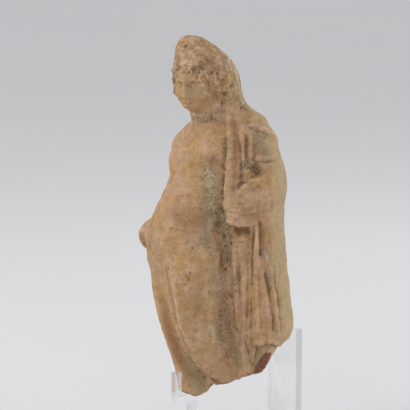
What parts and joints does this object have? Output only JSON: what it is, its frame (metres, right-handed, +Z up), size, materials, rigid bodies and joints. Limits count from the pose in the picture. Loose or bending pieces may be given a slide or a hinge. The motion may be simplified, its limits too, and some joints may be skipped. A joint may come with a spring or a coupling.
{
  "type": "terracotta figurine",
  "caption": "Mould-made terracotta figurine of a standing nude youth with a peaked headdress and a cloak, broken off at the shins, held up by a clear acrylic easel.",
  "frame": {"origin": "middle of the easel's footprint, on the table", "axes": "+Z up, the figure faces -Y and its own left is +X"},
  "size_m": [0.0558, 0.05, 0.1551],
  "materials": {
    "terracotta": "matte unglazed fired clay, worn, with pale and olive-grey deposits",
    "acrylic": "clear polished sheet"
  },
  "bodies": {
    "root": {"figurine": "terracotta", "easel": "acrylic"}
  },
  "joints": []
}
